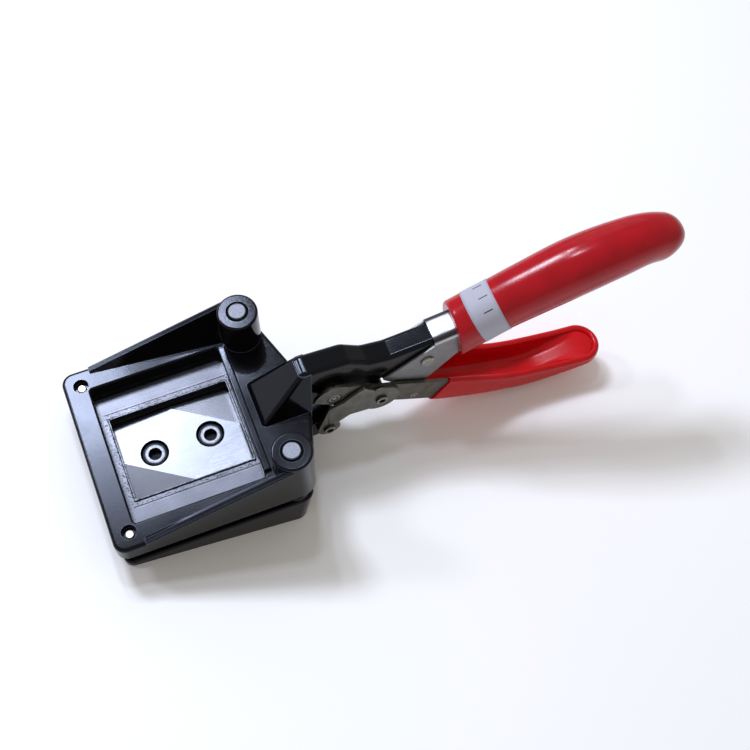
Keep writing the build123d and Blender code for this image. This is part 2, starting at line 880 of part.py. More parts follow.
# Upper handle: a folded channel over the arm, open below
grip_origin = (grip_start, grip_start_height)
channel_top = scaled(grip_origin, channel_top_shares, grip_length, grip_rise)
channel_edge = scaled(grip_origin, channel_edge_shares, grip_length, grip_rise)
stop_level = turned(stop_point, pivot, squeeze)[1] + stop_diameter / 2 + stop_gap
with BuildPart() as upper_handle:
    with BuildSketch(side):
        outline(
            [
                (flange_tip_place, flange_tip_height),
                (channel_start, channel_start_height - channel_lip),
                (channel_start, channel_start_height),
                *channel_top,
                *channel_edge,
                (flange_waist_place, flange_waist_height),
                (flange_foot_rear, stop_level),
                (flange_foot_front, stop_level),
            ]
        )
    extrude(amount=channel_outside, both=True)
    channel_roof = [
        face for face in faces()
        if head.to_local_coords(face.center()).X > channel_start
        and face.normal_at().dot(head.z_dir) > upright_share
    ]
    bends = [edge for face in channel_roof for edge in face.edges().filter_by(Axis.Y, reverse=True)]
    fillet(bends, radius=channel_round)
    with BuildSketch(side):
        web_under = [(x, z - sheet) for x, z in channel_top]
        outline(
            [
                (0, channel_top[-1][1]),
                (channel_start, channel_top[-1][1]),
                (channel_start, channel_start_height - sheet),
                *web_under,
                (web_under[-1][0] + overrun, web_under[-1][1]),
                (web_under[-1][0] + overrun, -lever_reach),
                (0, -lever_reach),
            ]
        )
    extrude(amount=channel_inside, both=True, mode=Mode.SUBTRACT)
    side_hole((handle_rivet_place, handle_rivet_height), rivet_radius + seat_gap)
finish(upper_handle, "upper_handle")


def grip_plane(along, lean_angle):
    """Plane across the grip at a distance from its mouth, leaning back by an angle."""
    lean = radians(lean_angle)
    heading = head.from_local_coords((cos(lean), 0, sin(lean))) - head.origin
    middle_point = (grip_start + along * cos(lean), 0, grip_start_height + along * sin(lean))
    return Plane(origin=head.from_local_coords(middle_point), x_dir=(0, 1, 0), z_dir=heading)


def grip_form(extra):
    """Lofts the grip's smooth form, made larger all round by the extra thickness."""
    points = [
        side.from_local_coords((grip_start + x * grip_length, grip_start_height + z * grip_rise, 0))
        for x, z, _ in grip_course_shares
    ]
    sections = []
    for index, (_, _, fullness) in enumerate(grip_course_shares):
        heading = points[min(index + 1, len(points) - 1)] - points[max(index - 1, 0)]
        with BuildSketch(Plane(origin=points[index], x_dir=(0, 1, 0), z_dir=heading)) as section:
            width = grip_width * fullness + 2 * extra
            height = grip_height * fullness + 2 * extra
            RectangleRounded(width, height, width * grip_corner_share)
        sections.append(section.sketch)
    with BuildPart() as form:
        loft(sections)
        split(bisect_by=grip_plane(grip_mouth, grip_mouth_lean), keep=Keep.TOP)
    return form.part


with BuildPart() as upper_grip:
    add(grip_form(0))
    add(upper_handle.part, mode=Mode.SUBTRACT)
finish(upper_grip, "upper_grip")


# The size label wrapped round the grip
with BuildPart() as size_label:
    add(grip_form(label_thickness))
    split(bisect_by=grip_plane(label_start, label_lean), keep=Keep.TOP)
    split(bisect_by=grip_plane(label_start + label_width, label_lean), keep=Keep.BOTTOM)
    add(grip_form(0), mode=Mode.SUBTRACT)
finish(size_label, "size_label")
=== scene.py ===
"""Looks of the hand-held photo punch: finishes, moulded grips, coiled springs, studio and camera.

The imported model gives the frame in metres. Sizes here are in millimetres and, unless a field
says otherwise, in the axes of the tilted cutting head, whose origin is the middle of the
die's top: X runs to the handles, Y to the far side and Z up out of the die.
"""
from __future__ import annotations

import logging
import math
from abc import ABC, abstractmethod
from dataclasses import dataclass, field
from enum import Enum
from typing import Any, ClassVar, Iterable, Sequence

import bmesh
import bpy
from bmesh.types import BMesh, BMVert
from bpy.types import ID, Material, Node, NodeTree, Object, World
from bpy.types import NodeSocket as Socket
from mathutils import Matrix, Vector

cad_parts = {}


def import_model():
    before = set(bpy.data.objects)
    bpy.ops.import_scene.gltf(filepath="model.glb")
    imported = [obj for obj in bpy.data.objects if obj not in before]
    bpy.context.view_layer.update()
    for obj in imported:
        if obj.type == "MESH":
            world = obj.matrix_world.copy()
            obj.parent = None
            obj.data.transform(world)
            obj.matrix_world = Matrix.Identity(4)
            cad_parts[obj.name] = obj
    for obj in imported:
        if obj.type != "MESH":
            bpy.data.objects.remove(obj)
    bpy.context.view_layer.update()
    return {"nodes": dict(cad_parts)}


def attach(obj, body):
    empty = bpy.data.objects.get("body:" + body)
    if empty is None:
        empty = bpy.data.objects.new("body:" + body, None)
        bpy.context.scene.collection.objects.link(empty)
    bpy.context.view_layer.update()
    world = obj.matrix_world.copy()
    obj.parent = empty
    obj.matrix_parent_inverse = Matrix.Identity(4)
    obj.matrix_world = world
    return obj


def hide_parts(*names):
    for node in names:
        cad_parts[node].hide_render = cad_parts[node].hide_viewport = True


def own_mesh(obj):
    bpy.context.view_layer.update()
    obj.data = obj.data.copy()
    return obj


MM = 0.001
log = logging.getLogger("photo_punch")

Ends = tuple[float, float]
Shares = tuple[tuple[float, ...], ...]
Stops = tuple[tuple[float, str], ...]
Triple = tuple[float, float, float]


class Body(Enum):
    """The rigid bodies that new pieces ride on."""

    HEAD = "head"
    CARRIER = "carrier"
    LEVER = "lever"


class Slot(Enum):
    """The record's material slots."""

    VINYL = "red_vinyl"
    PAPER = "white_paper"
    SPRING = "spring_steel"


@dataclass(frozen=True)
class HeadFrame:
    """The tilted head's axes within the row frame."""

    tilt_deg: float = 11.0
    setback: float = 4.762166
    height: float = 16.9

    def direction(self, x: float, y: float, z: float) -> Vector:
        """Turns a direction of the head into one of the row frame.

        Args:
            x: Share along the head.
            y: Share across it.
            z: Share up out of the die.

        Returns:
            The same direction in the row frame.
        """
        cos, sin = math.cos(math.radians(self.tilt_deg)), math.sin(math.radians(self.tilt_deg))
        return Vector((x * cos - z * sin, y, x * sin + z * cos))

    def point(self, x: float, y: float, z: float) -> Vector:
        """Turns a place in the head, in millimetres, into a row-frame point in metres.

        Args:
            x: Place along the head.
            y: Place across it.
            z: Height over the die's top.

        Returns:
            The point in the row frame.
        """
        return (self.direction(x, y, z) + Vector((-self.setback, 0.0, self.height))) * MM

    def pattern_point(self, x: float, y: float, z: float) -> Vector:
        """Finds where a place in the head lies in the coordinates of the finishes' patterns.

        Args:
            x: Place along the head.
            y: Place across it.
            z: Height over the die's top.

        Returns:
            The point in millimetres, turned level with the head.
        """
        level = Matrix.Rotation(math.radians(self.tilt_deg), 3, "Y")
        return level @ (self.point(x, y, z) / MM)


HEAD = HeadFrame()

# Where the guide posts stand: place along the head and distance to either side
POST_PLACE = 30.0
POST_REACH = 26.3


# Colours and nodes


def linear(colour: str) -> tuple[float, float, float, float]:
    """Turns an sRGB hex colour into linear light.

    Args:
        colour: Six hex digits with a leading hash.

    Returns:
        Red, green, blue and an alpha of 1.
    """
    channels = [int(colour[start : start + 2], 16) / 255 for start in (1, 3, 5)]
    light = [c / 12.92 if c <= 0.04045 else ((c + 0.055) / 1.055) ** 2.4 for c in channels]
    return (light[0], light[1], light[2], 1.0)


def shade(colour: str, share: float) -> str:
    """Darkens a hex colour.

    Args:
        colour: The sRGB hex colour.
        share: How much of each channel stays.

    Returns:
        The darker sRGB hex colour.
    """
    return "#" + "".join(f"{int(int(colour[s : s + 2], 16) * share):02x}" for s in (1, 3, 5))


def empty_tree(owner: Material | World) -> NodeTree:
    """Turns on the nodes of a material or of the surroundings and clears them.

    Args:
        owner: What the nodes belong to.

    Returns:
        Its empty node tree.
    """
    owner.use_nodes = True
    owner.node_tree.nodes.clear()
    return owner.node_tree


def add_node(
    tree: NodeTree, kind: str, inputs: dict[Any, Any] | None = None, **settings: Any
) -> Node:
    """Adds a node with its settings, values and links.

    Args:
        tree: The tree that gets the node.
        kind: Blender's name for the node's type, without ShaderNode before it.
        inputs: Values, output sockets, or nodes for their first output, by the input's name
            or number.
        **settings: The node's own options.

    Returns:
        The new node.
    """
    node = tree.nodes.new("ShaderNode" + kind)
    for name, value in settings.items():
        setattr(node, name, value)
    for key, value in (inputs or {}).items():
        if isinstance(value, Node):
            value = value.outputs[0]
        if isinstance(value, Socket):
            tree.links.new(value, node.inputs[key])
        else:
            node.inputs[key].default_value = value
    return node


def set_ramp(node: Node, stops: Stops) -> None:
    """Gives a colour ramp its stops.

    Args:
        node: The ramp.
        stops: Places from 0 to 1 with their sRGB hex colours.
    """
    elements = node.color_ramp.elements
    while len(elements) < len(stops):
        elements.new(0.5)
    for element, (place, colour) in zip(elements, stops):
        element.position = place
        element.color = linear(colour)


# Finishes


@dataclass(frozen=True)
class Finish(ABC):
    """What all finishes share: a name, a colour, how it takes light and how patterns are laid."""

    metallic: ClassVar[float] = 1.0
    name: str
    colour: str
    roughness: float

    @abstractmethod
    def build(self) -> Material:
        """Makes the material."""

    def start(self) -> tuple[Material, NodeTree, Node, Node]:
        """Makes the material with its shader and the coordinates that patterns are laid by.

        Returns:
            The material, its nodes, its shader and the coordinates in millimetres.
        """
        material = bpy.data.materials.new(self.name)
        tree = empty_tree(material)
        look = {
            "Base Color": linear(self.colour),
            "Metallic": self.metallic,
            "Roughness": self.roughness,
        }
        shader = add_node(tree, "BsdfPrincipled", look)
        add_node(tree, "OutputMaterial", {"Surface": shader})
        turned = {
            "Vector": add_node(tree, "TexCoord").outputs["Object"],
            "Rotation": (0.0, math.radians(HEAD.tilt_deg), 0.0),
            "Scale": (1 / MM, 1 / MM, 1 / MM),
        }
        return material, tree, shader, add_node(tree, "Mapping", turned)

    def lay_noise(self, place: Node, size: float, detail: float, fineness: float = 0.5) -> Node:
        """Lays a soft random pattern.

        Args:
            place: The coordinates that it is laid by.
            size: Size of its patches in those coordinates.
            detail: How many finer layers it has.
            fineness: Weight of the finer layers.

        Returns:
            The pattern.
        """
        laid = {"Vector": place, "Scale": 1 / size, "Detail": detail, "Roughness": fineness}
        return add_node(place.id_data, "TexNoise", laid)

    def lay_patches(
        self,
        place: Node,
        size: float,
        detail: float,
        share: float,
        ends: Ends = (0.3, 0.7),
        fineness: float = 0.5,
    ) -> tuple[Node, Node]:
        """Lays soft patches and darkens the finish's colour in the low ones.

        Args:
            place: The coordinates in millimetres.
            size: Size of the patches in millimetres.
            detail: How many finer layers they have.
            share: How much of the colour stays in the low ones.
            ends: Where in the pattern the colour is darkest and where it is full.
            fineness: Weight of the finer layers.

        Returns:
            The pattern and the colour.
        """
        patches = self.lay_noise(place, size, detail, fineness)
        tone = add_node(place.id_data, "ValToRGB", {"Fac": patches})
        set_ramp(tone, ((ends[0], shade(self.colour, share)), (ends[1], self.colour)))
        return patches, tone

    def draw_lines(
        self, place: Node, length: float, pitch: float, detail: float, fineness: float = 0.5
    ) -> Node:
        """Draws a pattern out into fine lines along the head.

        Args:
            place: The coordinates in millimetres.
            length: Length of the lines in millimetres.
            pitch: Their spacing in millimetres.
            detail: How many finer layers they have.
            fineness: Weight of the finer layers.

        Returns:
            The pattern.
        """
        scale = (1 / length, 1 / pitch, 1 / pitch)
        drawn = add_node(place.id_data, "Mapping", {"Vector": place, "Scale": scale})
        return self.lay_noise(drawn, 1.0, detail, fineness)

    def lay_bands(self, share: Node, stops: Stops, colour: Node) -> Node:
        """Tones a colour in bands.

        Args:
            share: How far each point lies through the bands, from 0 to 1.
            stops: The bands' places with their tones.
            colour: The colour under them.

        Returns:
            The toned colour.
        """
        bands = add_node(share.id_data, "ValToRGB", {"Fac": share})
        set_ramp(bands, stops)
        mix = {"Fac": 1.0, "Color1": colour, "Color2": bands}
        return add_node(share.id_data, "MixRGB", mix, blend_type="MULTIPLY")

    def cover(
        self,
        shader: Node,
        colour: Node,
        relief: Node,
        depth: float,
        strength: float,
        gloss: Node | None = None,
        spread: Ends = (1.0, 1.0),
        ends: Ends = (0.3, 0.7),
    ) -> None:
        """Gives the shader its colour, its relief and a roughness that follows a pattern.

        Args:
            shader: The material's shader.
            colour: The colour.
            relief: The relief's pattern.
            depth: Its depth in millimetres.
            strength: How much of it shows.
            gloss: The roughness's pattern, where it has one.
            spread: Shares of the finish's roughness at the pattern's two ends.
            ends: The pattern's two ends.
        """
        tree = shader.id_data
        raised = {"Height": relief, "Distance": depth * MM, "Strength": strength}
        bump = add_node(tree, "Bump", raised)
        tree.links.new(colour.outputs[0], shader.inputs["Base Color"])
        tree.links.new(bump.outputs[0], shader.inputs["Normal"])
        if gloss:
            low, high = (self.roughness * share for share in spread)
            span = {"From Min": ends[0], "From Max": ends[1], "To Min": low, "To Max": high}
            sheen = add_node(tree, "MapRange", {"Value": gloss, **span})
            tree.links.new(sheen.outputs[0], shader.inputs["Roughness"])


@dataclass(frozen=True)
class CastEnamel(Finish):
    """Die-cast alloy under baked black enamel: deep gloss, faint orange peel, and a paler colour
    painted along edges as a highlight.
    """

    metallic: ClassVar[float] = 0.0
    # Orange peel in baked enamel is about 1 mm across, and its gloss drifts over a finger's width
    peel: float = 0.9
    peel_depth: float = 0.006
    cloud: float = 14.0
    # A paler colour is painted over the last half millimetre beside each edge, hollow or rounded,
    # as a highlight
    edge_reach: float = 0.5
    edge_turn: Ends = (0.99, 0.88)
    edge_highlight_colour: str = "#4c5568"
    gloss_level: float = 0.21
    gloss_tint: str = "#e6edff"

    def build(self) -> Material:
        """Makes the material."""
        material, tree, shader, place = self.start()
        peel = self.lay_noise(place, self.peel, detail=2.0)
        cloud = self.lay_noise(place, self.cloud, detail=4.0)
        rounded = add_node(tree, "Bevel", {"Radius": self.edge_reach * MM})
        plain = add_node(tree, "NewGeometry").outputs["Normal"]
        alike = add_node(
            tree, "VectorMath", {0: rounded, 1: plain}, operation="DOT_PRODUCT"
        ).outputs["Value"]
        # Near an edge the rounded normal turns from the plain one, and there the paler colour is
        # painted in as a highlight
        turn = {"Value": alike, "From Min": self.edge_turn[0], "From Max": self.edge_turn[1]}
        thin = add_node(tree, "MapRange", turn)
        body, edge = linear(self.colour), linear(self.edge_highlight_colour)
        colour = add_node(tree, "MixRGB", {"Fac": thin, "Color1": body, "Color2": edge})
        depth, spread = self.peel_depth, (0.8, 1.3)
        self.cover(shader, colour, peel, depth, strength=1.0, gloss=cloud, spread=spread)
        shader.inputs["Specular IOR Level"].default_value = self.gloss_level
        shader.inputs["Specular Tint"].default_value = linear(self.gloss_tint)
        return material


@dataclass(frozen=True)
class GroundSteel(Finish):
    """Tool steel with the straight lines of a surface grinder along one direction."""

    # A grinder leaves lines about 0.05 mm apart: they are drawn coarser, so that they show
    line_pitch: float = 0.16
    line_length: float = 24.0
    line_depth: float = 0.002
    # Fingered steel dulls in patches of about 1 cm
    stain: float = 9.0
    tone_share: float = 0.94
    rim_reach: float = 0.0
    # Half the width of the painted shade line round the raised rim, and the size of the grease
    # specks
    rim_line: float = 0.16
    speck: float = 0.7
    speck_ends: Ends = (0.5, 0.62)
    # Colour of both the painted shade line and the grease specks
    grease_and_shade: str = "#17181b"
    # Half the aperture's length along the head, and half its width
    aperture: tuple[float, float] = (20.0, 15.0)

    def build(self) -> Material:
        """Makes the material."""
        material, _, shader, place = self.start()
        lines = self.draw_lines(place, self.line_length, self.line_pitch, detail=3.0, fineness=0.6)
        _, colour = self.lay_patches(place, self.stain, detail=5.0, share=self.tone_share)
        if self.rim_reach:
            colour = self.darken_rim(place, colour)
        depth, spread = self.line_depth, (0.92, 1.1)
        self.cover(shader, colour, lines, depth, strength=0.6, gloss=lines, spread=spread)
        return material

    def darken_rim(self, place: Node, colour: Node) -> Node:
        """Draws a dark line of painted shade round the aperture's raised rim, and grease specks
        inside it.

        Args:
            place: The coordinates in millimetres.
            colour: The steel's colour.

        Returns:
            The colour with the line and specks.
        """
        tree = place.id_data
        middle = tuple(HEAD.pattern_point(0.0, 0.0, 0.0))
        away = add_node(tree, "VectorMath", {0: place, 1: middle}, operation="SUBTRACT")
        size = add_node(tree, "VectorMath", {0: away}, operation="ABSOLUTE")
        hole = (*self.aperture, 0.0)
        past = add_node(tree, "VectorMath", {0: size, 1: hole}, operation="SUBTRACT")
        parts = add_node(tree, "SeparateXYZ", {"Vector": past}).outputs
        sides = {0: parts["X"], 1: parts["Y"]}
        outside = add_node(tree, "Math", sides, operation="MAXIMUM")
        reach = {0: outside, 1: self.rim_reach}
        near = {**reach, 2: self.rim_line}
        # The line is painted shade round the raised rim; the specks inside it are grease
        line = add_node(tree, "Math", near, operation="COMPARE")
        within = add_node(tree, "Math", reach, operation="LESS_THAN")
        grime = self.lay_noise(place, self.speck, detail=3.0)
        low, high = self.speck_ends
        specks = add_node(tree, "MapRange", {"Value": grime, "From Min": low, "From Max": high})
        dark = add_node(tree, "Math", {0: within, 1: specks, 2: line}, operation="MULTIPLY_ADD")
        mix = {"Fac": dark, "Color1": colour, "Color2": linear(self.grease_and_shade)}
        return add_node(tree, "MixRGB", mix)


@dataclass(frozen=True)
class SheetPlating(Finish):
    """Pressed sheet with thin nickel: satin, with rolling marks, small pits and dull patches."""

    dull_share: float = 0.8
    # Thin nickel dulls in patches of a few millimetres
    dull_patch: float = 3.5
    # Rolling marks lie about 0.1 mm apart: they are drawn coarser, so that they show
    mark_pitch: float = 0.25
    mark_length: float = 6.0
    mark_depth: float = 0.006
    # The arm's half width with the sheet over it, which the painted light bands reach out to
    half_width: float = 5.32
    # Bands of painted highlight and shade across the roof and bends, when given
    bend: Stops = ()

    def build(self) -> Material:
        """Makes the material."""
        material, _, shader, place = self.start()
        marks = self.draw_lines(place, self.mark_length, self.mark_pitch, detail=4.0)
        share, ends = self.dull_share, (0.32, 0.62)
        dull, colour = self.lay_patches(
            place, self.dull_patch, detail=6.0, share=share, ends=ends, fineness=0.65
        )
        if self.bend:
            colour = self.paint_light_bands(place, colour)
        depth, spread = self.mark_depth, (1.15, 0.92)
        self.cover(shader, colour, marks, depth, strength=0.5, gloss=dull, spread=spread)
        return material

    def paint_light_bands(self, place: Node, colour: Node) -> Node:
        """Paints highlight and shade bands on the sheet from the middle of its roof out to its
        sides, for the light on its rounded bends.

        Args:
            place: The coordinates in millimetres.
            colour: The plating's colour.

        Returns:
            The colour toned round the bend.
        """
        tree = place.id_data
        side = add_node(tree, "SeparateXYZ", {"Vector": place}).outputs["Y"]
        out = add_node(tree, "Math", {0: side, 1: self.half_width}, operation="DIVIDE")
        reached = add_node(tree, "Math", {0: out}, operation="ABSOLUTE")
        return self.lay_bands(reached, self.bend, colour)


@dataclass(frozen=True)
class TurnedMetal(Finish):
    """Bar turned on a lathe: rings about each piece's own axis, and bands of painted highlight on
    some heads.
    """

    centre: Triple = (0.0, 0.0, 0.0)
    across: bool = False
    reach: float = 1.0
    bands: Stops = ()
    # A lathe leaves rings about 0.1 mm apart: they are drawn coarser, so that they show
    ring_pitch: float = 0.35
    ring_share: float = 0.35
    ring_depth: float = 0.01
    # Rust and oil freckle cut ends in spots of about 0.5 mm
    speckle: float = 0.5

    def build(self) -> Material:
        """Makes the material."""
        material, tree, shader, place = self.start()
        middle = tuple(HEAD.pattern_point(*self.centre))
        away = add_node(tree, "VectorMath", {0: place, 1: middle}, operation="SUBTRACT")
        square = (1.0, 0.0, 1.0) if self.across else (1.0, 1.0, 0.0)
        flat = add_node(tree, "VectorMath", {0: away, 1: square}, operation="MULTIPLY")
        radius = add_node(tree, "VectorMath", {0: flat}, operation="LENGTH")
        reached = radius.outputs["Value"]
        pace = math.tau / self.ring_pitch
        rings = add_node(tree, "Math", {0: reached, 1: pace}, operation="MULTIPLY")
        wave = add_node(tree, "Math", {0: rings}, operation="SINE")
        speckle, colour = self.lay_patches(
            place, self.speckle, detail=4.0, share=0.82, ends=(0.35, 0.6)
        )
        sums = {0: wave, 1: self.ring_share, 2: speckle}
        height = add_node(tree, "Math", sums, operation="MULTIPLY_ADD")
        if self.bands:
            sums = {0: reached, 1: self.reach}
            share = add_node(tree, "Math", sums, operation="DIVIDE")
            colour = self.lay_bands(share, self.bands, colour)
        self.cover(shader, colour, height, self.ring_depth, strength=0.5)
        return material


@dataclass(frozen=True)
class DippedVinyl(Finish):
    """Vinyl dipped hot over metal: thick, glossy and slightly wavy, with a little light inside."""

    metallic: ClassVar[float] = 0.0
    # A hot dip runs in waves of 5 to 10 mm, under a grain of just under 1 mm
    ripple: float = 7.0
    ripple_depth: float = 0.05
    grain: float = 0.8
    grain_share: float = 0.008
    ior: float = 1.53
    gloss_level: float = 0.22
    inner_light: float = 0.06
    inner_reach: Triple = (1.2, 0.25, 0.2)

    def build(self) -> Material:
        """Makes the material."""
        material, tree, shader, place = self.start()
        ripple, colour = self.lay_patches(place, self.ripple, detail=1.0, share=0.93)
        grain = self.lay_noise(place, self.grain, detail=3.0)
        sums = {0: grain, 1: self.grain_share, 2: ripple}
        height = add_node(tree, "Math", sums, operation="MULTIPLY_ADD")
        depth, spread = self.ripple_depth, (0.9, 1.2)
        self.cover(shader, colour, height, depth, strength=0.6, gloss=grain, spread=spread)
        shader.inputs["IOR"].default_value = self.ior
        shader.inputs["Specular IOR Level"].default_value = self.gloss_level
        shader.inputs["Subsurface Weight"].default_value = self.inner_light
        shader.inputs["Subsurface Radius"].default_value = self.inner_reach
        shader.inputs["Subsurface Scale"].default_value = MM
        return material


@dataclass(frozen=True)
class LabelPaper(Finish):
    """Matt coated paper with a row of plain tick marks across it."""

    metallic: ClassVar[float] = 0.0
    ink: str = "#26262a"
    tick_pitch: float = 2.4
    tick_width: float = 0.35
    band_start: float = 103.2
    band_end: float = 106.2
    # Paper fibres are about 0.03 mm wide: they are drawn coarser, so that they show
    fibre: float = 0.6
    fibre_depth: float = 0.02

    def build(self) -> Material:
        """Makes the material."""
        material, tree, shader, place = self.start()
        parts = add_node(tree, "SeparateXYZ", {"Vector": place}).outputs
        paces = {0: parts["Y"], 1: self.tick_pitch}
        fold = add_node(tree, "Math", paces, operation="PINGPONG")
        offset = HEAD.pattern_point(0.0, 0.0, 0.0).x
        inked: Node | float = 1.0
        for value, limit, test in (
            (fold, self.tick_width / 2, "LESS_THAN"),
            (parts["X"], self.band_start + offset, "GREATER_THAN"),
            (parts["X"], self.band_end + offset, "LESS_THAN"),
        ):
            inside = add_node(tree, "Math", {0: value, 1: limit}, operation=test)
            inked = add_node(tree, "Math", {0: inked, 1: inside}, operation="MULTIPLY")
        tone = add_node(tree, "ValToRGB", {"Fac": inked})
        set_ramp(tone, ((0.0, self.colour), (1.0, self.ink)))
        fibre = self.lay_noise(place, self.fibre, detail=5.0)
        self.cover(shader, tone, fibre, self.fibre_depth, strength=0.4)
        return material


@dataclass(frozen=True)
class PlainGrain(Finish):
    """One colour with a fine grain in its gloss, for screws, bushes and wire."""

    # The grain of drawn or plated steel is about 0.1 mm: it is drawn coarser, so that it shows
    grain: float = 0.4
    grain_depth: float = 0.01

    def build(self) -> Material:
        """Makes the material."""
        material, _, shader, place = self.start()
        grain, colour = self.lay_patches(place, self.grain, detail=4.0, share=0.8)
        depth, spread, ends = self.grain_depth, (0.8, 1.2), (0.0, 1.0)
        self.cover(shader, colour, grain, depth, 0.4, gloss=grain, spread=spread, ends=ends)
        return material


# Helpers for pieces

# How carried-over nodes are softened: millimetres, degrees, steps and a share in hundredths
WELD_REACH = 0.001
FLAT_ANGLE_DEG = 0.4
EDGE_ANGLE_DEG = 32.0
EDGE_STEPS = 2
FACE_WEIGHT = 80


def break_edges(piece: Object, name: str, width: float, steps: int, angle_deg: float) -> None:
    """Breaks a piece's hard edges with a modifier.

    Args:
        piece: The piece.
        name: The modifier's name.
        width: Width of the break in millimetres.
        steps: Steps across each broken edge.
        angle_deg: Edges that turn by less than this stay as they are.
    """
    bevel = piece.modifiers.new(name, "BEVEL")
    bevel.width = width * MM
    bevel.segments = steps
    bevel.limit_method = "ANGLE"
    bevel.angle_limit = math.radians(angle_deg)


def soften(node: Object, width: float, joined: bool) -> None:
    """Softens a CAD node's hard edges with modifiers, so that they catch light.

    Args:
        node: The carried-over node.
        width: Width of the broken edges in millimetres.
        joined: Whether the triangles of each flat face are joined first.
    """
    weld = node.modifiers.new("weld", "WELD")
    weld.merge_threshold = WELD_REACH * MM
    if joined:
        flat = node.modifiers.new("flat_faces", "DECIMATE")
        flat.decimate_type = "DISSOLVE"
        flat.angle_limit = math.radians(FLAT_ANGLE_DEG)
    break_edges(node, "edge_break", width, EDGE_STEPS, EDGE_ANGLE_DEG)
    normals = node.modifiers.new("face_normals", "WEIGHTED_NORMAL")
    normals.keep_sharp = False
    normals.weight = FACE_WEIGHT


def new_piece(name: str, mesh: BMesh, smooth: bool = True) -> Object:
    """Makes an object from a mesh in the row frame.

    Args:
        name: The piece's name.
        mesh: Its mesh, which is freed.
        smooth: Whether its faces shade smoothly.

    Returns:
        The new object.
    """
    bmesh.ops.recalc_face_normals(mesh, faces=mesh.faces)
    data = bpy.data.meshes.new(name)
    mesh.to_mesh(data)
    mesh.free()
    data.polygons.foreach_set("use_smooth", [smooth] * len(data.polygons))
    piece = bpy.data.objects.new(name, data)
    bpy.context.scene.collection.objects.link(piece)
    return piece


def bake_modifiers(piece: Object) -> None:
    """Turns a piece's modifiers into its own mesh.

    Args:
        piece: The piece to settle.
    """
    graph = bpy.context.evaluated_depsgraph_get()
    graph.update()
    settled = bpy.data.meshes.new_from_object(piece.evaluated_get(graph))
    piece.modifiers.clear()
    piece.data = settled


def smooth_through(values: Sequence[float], place: float) -> float:
    """Reads a smooth curve through evenly numbered values.

    Args:
        values: The values that the curve passes through.
        place: Where to read it, counted in values from 0.

    Returns:
        The curve's value there.
    """
    last = len(values) - 1
    step = min(int(place), last - 1)
    share = place - step
    before = values[max(step - 1, 0)]
    here, there = values[step], values[step + 1]
    after = values[min(step + 2, last)]
    start, end = (there - before) / 2, (after - here) / 2
    square, cube = share * share, share**3
    return (
        here * (2 * cube - 3 * square + 1)
        + start * (cube - 2 * square + share)
        + there * (3 * square - 2 * cube)
        + end * (cube - square)
    )


def stand(name: str, data: ID, place: Triple, axes: tuple[Vector, Vector, Vector]) -> Object:
    """Stands a lamp or the camera at its place.

    Args:
        name: The object's name.
        data: What it holds.
        place: Its place in the head's millimetres.
        axes: Its right, its up and its back in the row frame.

    Returns:
        The new object.
    """
    thing = bpy.data.objects.new(name, data)
    turn = Matrix(axes).transposed().to_4x4()
    thing.matrix_world = Matrix.Translation(HEAD.point(*place)) @ turn
    bpy.context.scene.collection.objects.link(thing)
    return thing


def join_rings(mesh: BMesh, rings: list[list[BMVert]]) -> None:
    """Joins rings of points with four-sided faces.

    Args:
        mesh: The mesh that holds the rings.
        rings: Rings with the same number of points, in order.
    """
    for first, second in zip(rings, rings[1:]):
        for index in range(len(first)):
            mesh.faces.new((first[index - 1], first[index], second[index], second[index - 1]))


# Sub-assemblies


@dataclass
class Assembly(ABC):
    """What every sub-assembly shares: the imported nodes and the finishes."""

    nodes: dict[str, Object]
    finishes: dict[str, Material]

    @abstractmethod
    def build(self) -> None:
        """Dresses the sub-assembly's nodes and builds its own pieces."""

    def dress(
        self, names: Iterable[str], finish: str, edge: float = 0.0, joined: bool = False
    ) -> None:
        """Gives carried-over nodes their finish and softens their edges.

        Args:
            names: The nodes.
            finish: The finish's name.
            edge: Width of the broken edges in millimetres, or 0 to keep them.
            joined: Whether the triangles of each flat face are joined first.
        """
        for name in names:
            node = self.nodes[name]
            node.data.materials.clear()
            node.data.materials.append(self.finishes[finish])
            if edge:
                soften(node, edge, joined)
            log.info("%s wears %s", name, finish)

    def wear(self, piece: Object, finish: str, slot: Slot, body: Body, *stands_for: str) -> None:
        """Gives a new piece its finish and its body, and hides the nodes that it replaces.

        Args:
            piece: The piece, in place.
            finish: The finish's name.
            slot: The record's slot; not used.
            body: The body it rides on.
            *stands_for: Nodes that it replaces.
        """
        piece.data.materials.clear()
        piece.data.materials.append(self.finishes[finish])
        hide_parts(*stands_for)
        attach(piece, body.value)
        log.info("%s stands for %s", piece.name, ", ".join(stands_for))


@dataclass
class CuttingHead(Assembly):
    """Upper casting with the bushes in its two bosses."""

    edge: float = 0.3
    bush_edge: float = 0.1

    def build(self) -> None:
        """Dresses the casting and its bushes."""
        self.dress(["upper_body"], "enamel_cast_gloss", self.edge, joined=True)
        self.dress(["guide_bush_near", "guide_bush_far"], "steel_blackened_bush", self.bush_edge)


@dataclass
class DieStack(Assembly):
    """Die plate, its insert, the slot's spacer, the guide plate and their screws."""

    edge: float = 0.15

    def build(self) -> None:
        """Dresses the plates and screws."""
        self.dress(["die_plate"], "steel_ground_plate")
        self.dress(["die_insert"], "steel_ground_insert")
        self.dress(["slot_spacer", "guide_plate"], "steel_ground_plate", self.edge)
        corners = ("front_near", "front_far", "rear_near", "rear_far")
        self.dress([f"die_screw_{corner}" for corner in corners], "zinc_plated_screw")


@dataclass
class PunchUnit(Assembly):
    """The punch and its two socket screws."""

    edge: float = 0.25

    def build(self) -> None:
        """Dresses the punch and its screws."""
        self.dress(["punch"], "steel_lapped_punch")
        for end in ("front", "rear"):
            self.dress([f"punch_screw_{end}"], f"steel_black_oxide_{end}", self.edge)


